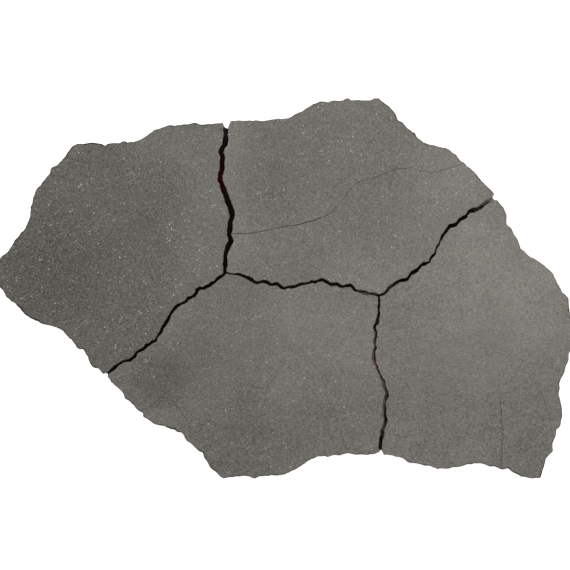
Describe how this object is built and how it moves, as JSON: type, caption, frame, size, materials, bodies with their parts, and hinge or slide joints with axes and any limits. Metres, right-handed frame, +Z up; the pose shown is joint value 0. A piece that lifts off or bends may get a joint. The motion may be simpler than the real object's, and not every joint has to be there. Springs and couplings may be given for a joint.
{
  "type": "slate slab",
  "caption": "Irregular riven slate paving slab with rough split edges, cracked right through so that its pieces lie together like crazy paving.",
  "frame": {"origin": "centre of the bounding box at the flat underside", "axes": "+X along the slab's longest side, towards its broad right end; +Y towards the rear edge; +Z up, out of the riven face"},
  "size_m": [0.925, 0.6082, 0.03],
  "materials": {
    "slate": "riven, matt, dry"
  },
  "bodies": {
    "root": {"left_piece": "slate", "rear_piece": "slate", "front_piece": "slate", "right_piece": "slate"}
  },
  "joints": []
}
